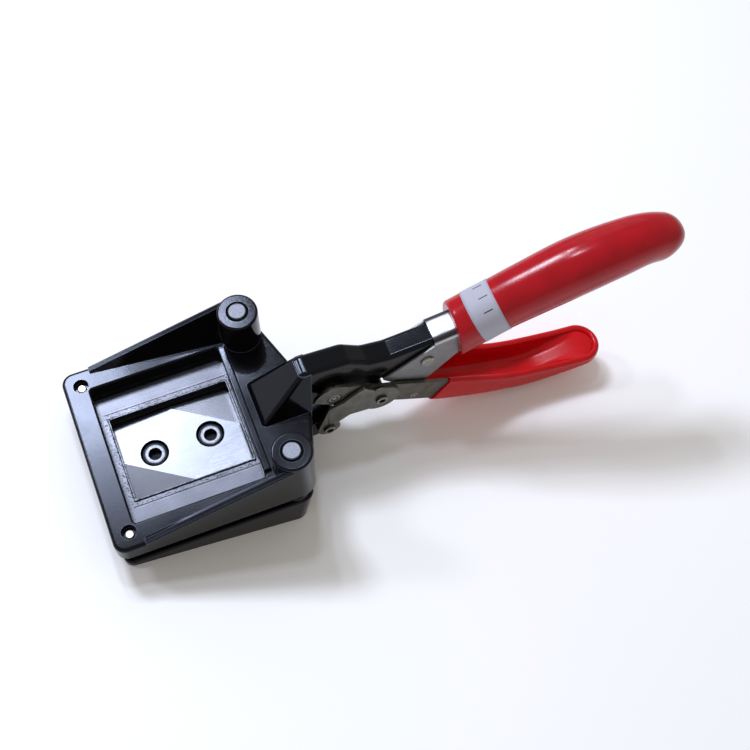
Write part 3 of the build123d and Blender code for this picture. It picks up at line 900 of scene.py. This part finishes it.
@dataclass
class LowerCasting(Assembly):
    """Lower casting with its guide posts and the springs round them."""

    edge: float = 0.35
    post_edge: float = 0.1
    spring_top: float = 3.0
    spring_foot: float = -13.0
    coil_radius: float = 3.55
    wire_radius: float = 0.4
    open_turns: float = 5.0
    closed_turns: float = 1.0
    # The closed end turns lie a twenty-fifth of the wire's thickness apart
    closed_pitch: float = 0.832
    nudge: float = 0.01
    points_per_turn: int = 28
    wire_sides: int = 10
    stroke: float = 5.0

    def coil_point(self, sign: int, turn: float) -> Vector:
        """Finds a point on a coil's centre line.

        Args:
            sign: -1 for the near post, 1 for the far one.
            turn: How many turns up from the foot.

        Returns:
            The point in the row frame.
        """
        dead, pitch = self.closed_turns, self.closed_pitch
        low = self.spring_foot + self.wire_radius
        high = self.spring_top - self.wire_radius
        climb = (high - low - 2 * dead * pitch) / self.open_turns
        height = low + min(turn, dead) * pitch
        height += min(max(turn - dead, 0.0), self.open_turns) * climb
        height += max(turn - dead - self.open_turns, 0.0) * pitch
        angle = turn * math.tau
        return HEAD.point(
            POST_PLACE + self.coil_radius * math.cos(angle),
            sign * POST_REACH + self.coil_radius * math.sin(angle),
            height,
        )

    def build_spring(self, name: str, sign: int) -> None:
        """Winds one return spring.

        Args:
            name: The side that it is on.
            sign: -1 for near, 1 for far.
        """
        mesh = bmesh.new()
        turns = self.open_turns + 2 * self.closed_turns
        count = int(turns * self.points_per_turn)
        axis = HEAD.direction(0.0, 0.0, 1.0)
        rings: list[list[BMVert]] = []
        for index in range(count + 1):
            turn = turns * index / count
            here = self.coil_point(sign, turn)
            ahead = self.coil_point(sign, turn + self.nudge)
            along = (ahead - self.coil_point(sign, turn - self.nudge)).normalized()
            out = along.cross(axis).normalized()
            up = out.cross(along)
            ring = []
            for side in range(self.wire_sides):
                angle = math.tau * side / self.wire_sides
                offset = (out * math.cos(angle) + up * math.sin(angle)) * self.wire_radius * MM
                ring.append(mesh.verts.new(here + offset))
            rings.append(ring)
        join_rings(mesh, rings)
        mesh.faces.new(rings[0])
        mesh.faces.new(rings[-1])
        piece = new_piece(f"return_coil_{name}", mesh)
        self.wear(piece, "steel_drawn_wire", Slot.SPRING, Body.CARRIER, f"return_spring_{name}")
        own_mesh(piece)

    def build(self) -> None:
        """Dresses the casting and posts and winds the springs."""
        self.dress(["lower_body"], "enamel_cast_gloss", self.edge)
        for name, sign in (("near", -1), ("far", 1)):
            self.dress([f"guide_post_{name}"], f"steel_turned_post_{name}", self.post_edge)
            self.build_spring(name, sign)


@dataclass
class Linkage(Assembly):
    """Links, pins, rivets and washers between the lever and the castings."""

    edge: float = 0.18
    washer_edge: float = 0.1

    def build(self) -> None:
        """Dresses the linkage."""
        washers = ["pivot_washer_near", "pivot_washer_far"]
        self.dress(["link_near", "link_far"], "nickel_plated_link", self.edge)
        self.dress(washers, "nickel_plated_link", self.washer_edge)
        self.dress(["pivot_pin"], "steel_turned_pivot")
        self.dress(["link_pin"], "steel_turned_link_pin")
        self.dress(["middle_rivet"], "steel_turned_middle")
        self.dress(["stop_pin", "middle_spacer"], "steel_turned_stop")


@dataclass(frozen=True)
class GripForm:
    """The upper grip's smooth form, as stations along its length."""

    start: float = 95.3
    start_height: float = 12.55
    length: float = 82.2
    rise: float = 16.0
    width: float = 16.6
    height: float = 19.0
    squareness: float = 2.3
    mouth: float = -0.6
    mouth_lean_deg: float = 5.0
    mouth_search: float = 1.2
    # Share of the length, share of the rise, and fullness
    stations: Shares = (
        (-0.060, -0.125, 1.040),
        (0.060, 0.131, 1.035),
        (0.180, 0.366, 1.020),
        (0.300, 0.561, 1.055),
        (0.500, 0.851, 1.106),
        (0.680, 0.993, 1.054),
        (0.820, 1.005, 0.946),
        (0.976, 0.668, 0.800),
    )
    end_share: float = 0.877
    tip_share: float = 0.9765
    nudge: float = 0.05
    mouth_station: float = 0.5
    mouth_tries: int = 24

    def read(self, column: int, place: float) -> float:
        """Reads one column of the stations as a smooth curve."""
        return smooth_through([station[column] for station in self.stations], place)

    def centre(self, place: float) -> Vector:
        """Finds the form's middle at a place counted in stations, in the head's millimetres."""
        x, z = self.length * self.read(0, place), self.rise * self.read(1, place)
        return Vector((self.start + x, 0.0, self.start_height + z))

    def surface(self, place: float, angle: float, extra: float) -> Vector:
        """Finds a point on the form, or a little outside it.

        Args:
            place: Place counted in stations.
            angle: Angle round the form, from its far side upward.
            extra: Distance outside the form, in millimetres.

        Returns:
            The point in the head's millimetres.
        """
        ahead = self.centre(min(place + self.nudge, len(self.stations) - 1))
        along = (ahead - self.centre(place - self.nudge)).normalized()
        past = self.read(0, place) - self.end_share
        into_end = max(0.0, past / (self.tip_share - self.end_share))
        fullness = self.read(2, place) * math.sqrt(1 - into_end**2)
        cos, sin = math.cos(angle), math.sin(angle)
        power = 2 / self.squareness
        across = (self.width * fullness / 2 + extra) * math.copysign(abs(cos) ** power, cos)
        high = (self.height * fullness / 2 + extra) * math.copysign(abs(sin) ** power, sin)
        return self.centre(place) + Vector((-along.z * high, across, along.x * high))

    def mouth_place(self, angle: float) -> float:
        """Finds where the line at one angle round the form meets the mouth's leaning plane.

        Args:
            angle: Angle round the form.

        Returns:
            The place counted in stations.
        """
        lean = math.radians(self.mouth_lean_deg)
        normal = Vector((math.cos(lean), 0.0, math.sin(lean)))
        origin = Vector((self.start, 0.0, self.start_height)) + normal * self.mouth
        low, high = self.mouth_station - self.mouth_search, self.mouth_station + self.mouth_search
        for _ in range(self.mouth_tries):
            middle = (low + high) / 2
            if (self.surface(middle, angle, 0.0) - origin).dot(normal) < 0.0:
                low = middle
            else:
                high = middle
        return (low + high) / 2

    def ring(self, place: float, extra: float, count: int) -> list[Vector]:
        """Finds points round the form at one place.

        Args:
            place: Place counted in stations.
            extra: Distance outside the form, in millimetres.
            count: How many points.

        Returns:
            The points in the row frame.
        """
        angles = [math.tau * index / count for index in range(count)]
        return [HEAD.point(*self.surface(place, angle, extra)) for angle in angles]


@dataclass
class UpperHandle(Assembly):
    """Folded channel, its rivet, the moulded grip over it and the size label."""

    form: GripForm = field(default_factory=GripForm)
    edge: float = 0.2
    points_round: int = 64
    rings_along: int = 110
    mouth_round: float = 0.9
    mouth_steps: int = 5
    station_gap: float = 10.6
    end_crowding: float = 1.6
    tip_reach: float = 0.04
    tip_nudge: float = 0.1
    label_start: float = 1.2
    label_end: float = 2.09
    label_thickness: float = 0.16
    label_tuck: float = 0.05
    label_steps: int = 8
    label_round: int = 56

    def build_grip(self) -> None:
        """Builds the grip with a rounded mouth and a closed, rounded end."""
        mesh = bmesh.new()
        form, last = self.form, len(self.form.stations) - 1
        angles = [math.tau * index / self.points_round for index in range(self.points_round)]
        mouth = [form.mouth_place(angle) for angle in angles]
        lip = self.mouth_round / self.station_gap
        courses = []
        for step in range(self.mouth_steps, 0, -1):
            turn = math.pi / 2 * step / self.mouth_steps
            behind = self.mouth_round * (1 - math.sin(turn)) / self.station_gap
            inward = self.mouth_round * (1 - math.cos(turn))
            courses.append(([start + behind for start in mouth], -inward))
        for step in range(self.rings_along + 1):
            share = 1 - (1 - step / self.rings_along) ** self.end_crowding
            courses.append(([start + lip + (last - start - lip) * share for start in mouth], 0.0))
        rings = [
            [
                mesh.verts.new(HEAD.point(*form.surface(place, angle, extra)))
                for place, angle in zip(places, angles)
            ]
            for places, extra in courses
        ]
        join_rings(mesh, rings)
        mesh.faces.new(rings[0])
        centre = form.centre(last)
        along = (centre - form.centre(last - self.tip_nudge)).normalized()
        tip = mesh.verts.new(HEAD.point(*(centre + along * self.tip_reach)))
        for index, corner in enumerate(rings[-1]):
            mesh.faces.new((rings[-1][index - 1], corner, tip))
        piece = new_piece("upper_grip_skin", mesh)
        self.wear(piece, "vinyl_dipped_upper", Slot.VINYL, Body.HEAD, "upper_grip")

    def build_label(self) -> None:
        """Wraps the label round the grip, with its ends tucked into the vinyl."""
        mesh = bmesh.new()
        span, steps = self.label_end - self.label_start, self.label_steps
        places = [self.label_start + span * step / steps for step in range(steps + 1)]
        courses = [(place, self.label_thickness) for place in places]
        courses = [(places[0], -self.label_tuck), *courses, (places[-1], -self.label_tuck)]
        rings = [
            [mesh.verts.new(point) for point in self.form.ring(place, extra, self.label_round)]
            for place, extra in courses
        ]
        join_rings(mesh, rings)
        piece = new_piece("size_label_band", mesh)
        self.wear(piece, "paper_coated_label", Slot.PAPER, Body.HEAD, "size_label")

    def build(self) -> None:
        """Dresses the channel and builds the grip and label."""
        self.dress(["upper_handle"], "nickel_plated_channel", self.edge)
        self.dress(["handle_rivet"], "steel_turned_handle_rivet")
        self.build_grip()
        self.build_label()


@dataclass(frozen=True)
class TroughForm:
    """The lower grip's open form: a coat round the lever with a rounded rim and a shallow end."""

    half_width: float = 7.6
    wall: float = 2.4
    corner: float = 3.0
    inner_corner: float = 3.4
    floor: float = 2.3
    end: float = 154.5
    shallow_from: float = 30.0
    shallow_share: float = 0.8
    mouth: float = 88.0
    mouth_height: float = -17.0
    mouth_lean_deg: float = 27.0
    lean_fade: float = 26.0
    least_flat: float = 0.2
    bend_steps: int = 7
    bead_steps: int = 10
    # Place along the head, height of the rim and height of the underside
    courses: Shares = (
        (80.0, -3.4, -18.6),
        (89.0, -8.8, -23.8),
        (97.0, -13.3, -27.8),
        (105.0, -18.0, -31.5),
        (113.0, -22.7, -34.4),
        (121.0, -26.0, -37.1),
        (129.0, -28.3, -38.3),
        (141.0, -31.1, -38.7),
        (156.0, -33.2, -38.2),
    )

    @property
    def centre(self) -> float:
        """Finds where the round end's middle lies along the head."""
        return self.end - self.half_width

    def heights(self, x: float) -> Triple:
        """Finds the rim, the underside and the inner floor at a place.

        Args:
            x: Place along the head.

        Returns:
            The three heights in the head's millimetres.
        """
        places, rims, unders = zip(*self.courses)
        index = min(max(sum(place <= x for place in places) - 1, 0), len(places) - 2)
        count = index + (x - places[index]) / (places[index + 1] - places[index])
        rim, under = smooth_through(rims, count), smooth_through(unders, count)
        share = min(max((x - self.end + self.shallow_from) / self.shallow_from, 0.0), 1.0)
        share = share * share * (3 - 2 * share)
        deep = under + self.floor
        return rim, under, deep + (rim - deep) * share * self.shallow_share

    def profile(self, rim: float, under: float, floor: float) -> list[tuple[float, float]]:
        """Draws half of the section, from the middle of the floor over the rim to the underside.

        Args:
            rim: Height of the rim.
            under: Height of the underside.
            floor: Height of the inner floor.

        Returns:
            Distances from the middle plane with their heights.
        """
        inside = self.half_width - self.wall
        bead = self.wall / 2
        bend = min(self.inner_corner, inside - self.least_flat)
        bend_rise = min(self.inner_corner, rim - bead - floor)
        quarter = [math.pi / 2 * step / self.bend_steps for step in range(self.bend_steps + 1)]
        half = [math.pi * step / self.bead_steps for step in range(1, self.bead_steps + 1)]
        points = [(share * (inside - bend), floor) for share in (0.0, 0.5, 1.0)]
        for turn in quarter[1:]:
            rise = bend_rise * (1 - math.cos(turn))
            points.append((inside - bend + bend * math.sin(turn), floor + rise))
        for turn in half:
            out = bead * (1 - math.cos(turn))
            points.append((inside + out, rim - bead + bead * math.sin(turn)))
        for turn in quarter:
            back = self.corner * (1 - math.cos(turn))
            points.append((self.half_width - back, under + self.corner * (1 - math.sin(turn))))
        return [*points, ((self.half_width - self.corner) * 0.5, under), (0.0, under)]

    def line(self, x: float, way: tuple[float, float]) -> list[Vector]:
        """Lays the half section that leaves the middle plane at one place in one direction.

        Args:
            x: Place along the head.
            way: Direction along the head and across it.

        Returns:
            Its points in the row frame.
        """
        lean = math.tan(math.radians(self.mouth_lean_deg))
        fade = max(1 - (x - self.mouth) / self.lean_fade, 0.0)
        points = []
        for index, (reach, height) in enumerate(self.profile(*self.heights(x))):
            along = x + way[0] * reach + fade * (height - self.mouth_height) * lean
            height = self.profile(*self.heights(along))[index][1]
            points.append(HEAD.point(along, way[1] * reach, height))
        return points


@dataclass
class LowerHandle(Assembly):
    """Pressed lever and its dipped, open grip."""

    form: TroughForm = field(default_factory=TroughForm)
    edge: float = 0.2
    mouth_edge: float = 0.4
    mouth_edge_steps: int = 3
    mouth_edge_deg: float = 50.0
    double_reach: float = 0.01
    sliver_reach: float = 0.005
    lines_along: int = 60
    lines_round: int = 28

    def build_grip(self) -> None:
        """Sweeps the grip's half section along both sides and round its end."""
        mesh = bmesh.new()
        mouth, reach = self.form.mouth, self.form.centre - self.form.mouth
        stops = [mouth + reach * step / self.lines_along for step in range(self.lines_along)]
        rows = [self.form.line(x, (0.0, -1.0)) for x in stops]
        for step in range(self.lines_round + 1):
            angle = math.pi * (step / self.lines_round - 0.5)
            rows.append(self.form.line(self.form.centre, (math.cos(angle), math.sin(angle))))
        rows += [self.form.line(x, (0.0, 1.0)) for x in reversed(stops)]
        grid = [[mesh.verts.new(point) for point in row] for row in rows]
        for first, second in zip(grid, grid[1:]):
            for index in range(len(first) - 1):
                mesh.faces.new((first[index], first[index + 1], second[index + 1], second[index]))
        mesh.faces.new([*grid[0], *reversed(grid[-1])])
        bmesh.ops.remove_doubles(mesh, verts=mesh.verts, dist=self.double_reach * MM)
        bmesh.ops.dissolve_degenerate(mesh, edges=mesh.edges, dist=self.sliver_reach * MM)
        piece = new_piece("lower_grip_skin", mesh)
        steps, turn = self.mouth_edge_steps, self.mouth_edge_deg
        break_edges(piece, "mouth_edge", self.mouth_edge, steps, turn)
        bake_modifiers(piece)
        self.wear(piece, "vinyl_dipped_lower", Slot.VINYL, Body.LEVER, "lower_grip")

    def build(self) -> None:
        """Dresses the lever and builds its grip."""
        self.dress(["lower_handle"], "nickel_plated_lever", self.edge)
        self.build_grip()


# Studio

# The windows' height over the die's top, at which the flat faces mirror them
LAMP_HEIGHT = 907.0


@dataclass(frozen=True)
class Softbox:
    """A flat lamp, placed in the head's millimetres and aimed at the head."""

    name: str
    place: Triple
    width: float
    length: float
    # Watts per square metre and steradian
    radiance: float
    long_axis: Triple = (0.0, 1.0, 0.0)
    aim: Triple = (-19.0, 0.0, 0.0)
    colour: str = "#e4ecff"

    def build(self) -> None:
        """Makes the lamp."""
        data = bpy.data.lights.new(self.name, "AREA")
        data.shape = "RECTANGLE"
        data.size, data.size_y = self.width * MM, self.length * MM
        data.energy = self.radiance * math.pi * data.size * data.size_y
        data.color = linear(self.colour)[:3]
        back = (HEAD.point(*self.place) - HEAD.point(*self.aim)).normalized()
        along = HEAD.direction(*self.long_axis)
        along = (along - back * along.dot(back)).normalized()
        stand(self.name, data, self.place, (along.cross(back), along, back))


@dataclass
class Studio:
    """Floor, soft lamps, surroundings and the camera."""

    floor_size: float = 3000.0
    floor_colour: str = "#fbfbfa"
    surround_colour: str = "#f1ece5"
    surround_strength: float = 0.52
    # The camera that was fitted to the photograph: its place and its directions in the head's axes
    camera_place: Triple = (-8.39, -196.33, 416.39)
    camera_right: Triple = (0.93213, -0.36214, -0.00061)
    camera_up: Triple = (0.32373, 0.83253, 0.44955)
    lens: float = 67.15
    sensor: float = 36.0
    near_clip: float = 10.0
    far_clip: float = 10000.0
    # Name, place, width, length and radiance
    softboxes: tuple[Softbox, ...] = (
        Softbox("window_low", (-65.0, 415.0, LAMP_HEIGHT), 270.0, 90.0, 15.0),
        Softbox("window_high", (-110.0, 530.0, LAMP_HEIGHT), 190.0, 140.0, 60.0),
        Softbox("window_corner", (80.0, 540.0, LAMP_HEIGHT), 50.0, 90.0, 84.0),
        Softbox("window_pane", (115.0, 250.0, LAMP_HEIGHT), 80.0, 80.0, 62.0),
        Softbox("window_side", (-600.0, 545.0, LAMP_HEIGHT), 170.0, 120.0, 40.0),
        Softbox("back_fill", (500.0, 1100.0, 700.0), 900.0, 900.0, 0.5),
    )

    def build_floor(self) -> None:
        """Lays the floor."""
        mesh = bmesh.new()
        bmesh.ops.create_grid(mesh, x_segments=2, y_segments=2, size=self.floor_size * MM / 2)
        floor = new_piece("studio_floor", mesh, smooth=False)
        material = bpy.data.materials.new("studio_paper")
        tree = empty_tree(material)
        diffuse = add_node(tree, "BsdfDiffuse", {"Color": linear(self.floor_colour)})
        add_node(tree, "OutputMaterial", {"Surface": diffuse})
        floor.data.materials.append(material)

    def build_world(self) -> None:
        """Lights the surroundings."""
        world = bpy.data.worlds.new("studio_surround")
        tree = empty_tree(world)
        light = {"Color": linear(self.surround_colour), "Strength": self.surround_strength}
        glow = add_node(tree, "Background", light)
        add_node(tree, "OutputWorld", {"Surface": glow})
        bpy.context.scene.world = world

    def build_camera(self) -> None:
        """Sets the camera where the photograph was taken from."""
        data = bpy.data.cameras.new("photo_camera")
        data.lens = self.lens
        data.sensor_width = self.sensor
        data.clip_start, data.clip_end = self.near_clip * MM, self.far_clip * MM
        right = HEAD.direction(*self.camera_right).normalized()
        up = HEAD.direction(*self.camera_up)
        up = (up - right * up.dot(right)).normalized()
        back = right.cross(up)
        camera = stand("photo_camera", data, self.camera_place, (right, up, back))
        bpy.context.scene.camera = camera

    def build(self) -> None:
        """Builds the studio."""
        bpy.context.scene.view_settings.view_transform = "Standard"
        self.build_floor()
        self.build_world()
        for softbox in self.softboxes:
            softbox.build()
        self.build_camera()


# Finishes of the pieces

# Tone of a screw head from its middle out: black socket, a painted highlight ring, black rim
SCREW_HIGHLIGHT_BANDS = (
    (0.0, "#202020"),
    (0.5, "#242424"),
    (0.56, "#b8b8b8"),
    (0.72, "#989898"),
    (0.79, "#343434"),
    (1.0, "#282828"),
)

# Tone of a riveted head from its middle out: painted highlight on the boss, a darker ring, painted
# highlight at the rim
RIVET_HIGHLIGHT_BANDS = (
    (0.0, "#f4f4f4"),
    (0.32, "#cccccc"),
    (0.46, "#3c3c3c"),
    (0.62, "#4a4a4a"),
    (0.74, "#d8d8d8"),
    (1.0, "#8a8a8a"),
)

# Painted light on the folded channel from its middle out to its sides: painted highlight on the
# roof, painted shade on the bend, a bright painted highlight line, then the side
CHANNEL_PAINTED_LIGHT = (
    (0.0, "#c8c8c8"),
    (0.3, "#b0b0b0"),
    (0.62, "#585858"),
    (0.86, "#484848"),
    (0.95, "#f0f0f0"),
    (0.99, "#989898"),
)


def make_finishes() -> dict[str, Material]:
    """Makes every finish.

    Returns:
        The materials by name.
    """
    finishes: list[Finish] = [
        # Zinc die casting under baked black enamel: near black, with crisp bluish window light
        CastEnamel("enamel_cast_gloss", "#09090b", roughness=0.12),
        # Blackened steel bush: a dull dark ring round each post
        PlainGrain("steel_blackened_bush", "#2c2d30", roughness=0.4),
        # Surface-ground tool steel: an even grey that turns from dark to white with the light
        GroundSteel("steel_ground_plate", "#3f4045", roughness=0.26, tone_share=0.86),
        # The same steel round the aperture, with a painted shade line round its raised rim and
        # grease specks inside it
        GroundSteel(
            "steel_ground_insert", "#45464b", roughness=0.26, tone_share=0.8, rim_reach=2.2
        ),
        # Lapped tool steel: the flat blazes and the four ground facets fall to grey
        GroundSteel("steel_lapped_punch", "#595b60", roughness=0.24),
        # Zinc-plated screw end: a small warm grey disc
        PlainGrain("zinc_plated_screw", "#a9a294", roughness=0.4),
        # Cold-drawn spring wire: thin grey coils
        PlainGrain("steel_drawn_wire", "#8d9096", roughness=0.3),
        # Dull nickel on stamped sheet: an olive grey with darker patches
        SheetPlating("nickel_plated_link", "#76756e", roughness=0.4),
        SheetPlating("nickel_plated_lever", "#6e6d66", roughness=0.42),
        # Brighter nickel on the folded channel, with bands of painted highlight and shade across
        # its roof and bends
        SheetPlating(
            "nickel_plated_channel", "#e6e8ec", roughness=0.4, dull_share=0.93, bend=CHANNEL_PAINTED_LIGHT
        ),
        # Turned rivet through the channel: a pale disc with faint rings
        TurnedMetal(
            "steel_turned_handle_rivet", "#a4a49b", 0.36, centre=(84.0, 0.0, 6.8), across=True
        ),
        # Hot-dipped vinyl: deep glossy red with a sharp streak of window light
        DippedVinyl("vinyl_dipped_upper", "#aa0f1b", roughness=0.16),
        # The same vinyl on the lever, painted a brighter red for the light that falls inside its
        # trough
        DippedVinyl("vinyl_dipped_lower", "#c20a14", roughness=0.2),
        # Coated label paper: matt white with plain tick marks
        LabelPaper("paper_coated_label", "#a8a8b6", roughness=0.6),
    ]
    # Blackened alloy steel: black heads, each with a painted highlight ring round its socket
    for end, x in (("front", -9.5), ("rear", 9.5)):
        name, centre = f"steel_black_oxide_{end}", (x, 0.0, 0.0)
        screw = TurnedMetal(name, "#9a9ea6", 0.36, centre, reach=4.25, bands=SCREW_HIGHLIGHT_BANDS)
        finishes.append(screw)
    # Turned steel post ends: pale and slightly rough, with faint rings
    for side, y in (("near", -POST_REACH), ("far", POST_REACH)):
        name, centre = f"steel_turned_post_{side}", (POST_PLACE, y, 0.0)
        finishes.append(TurnedMetal(name, "#64676d", roughness=0.42, centre=centre))
    # Turned and riveted pins: small discs with a painted highlight on the boss and at the rim, and
    # a darker ring between
    for pin, x, z, reach in (
        ("pivot", 50.8, 5.7, 2.1),
        ("link_pin", 47.9, -12.2, 2.1),
        ("middle", 66.7, -3.4, 2.1),
        ("stop", 79.2, -12.6, 1.5),
    ):
        name, centre = f"steel_turned_{pin}", (x, 0.0, z)
        rivet = TurnedMetal(name, "#d4d4ce", 0.36, centre, True, reach, RIVET_HIGHLIGHT_BANDS)
        finishes.append(rivet)
    return {finish.name: finish.build() for finish in finishes}


def main() -> None:
    """Builds the object and its studio in order."""
    logging.basicConfig(level=logging.INFO, format="%(name)s: %(message)s")
    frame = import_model()
    finishes = make_finishes()
    log.info("%d finishes made", len(finishes))
    for assembly in (
        CuttingHead,
        DieStack,
        PunchUnit,
        LowerCasting,
        Linkage,
        UpperHandle,
        LowerHandle,
    ):
        assembly(frame["nodes"], finishes).build()
        log.info("%s built", assembly.__name__)
    Studio().build()
    log.info("Studio built")


if __name__ == "__main__":
    main()
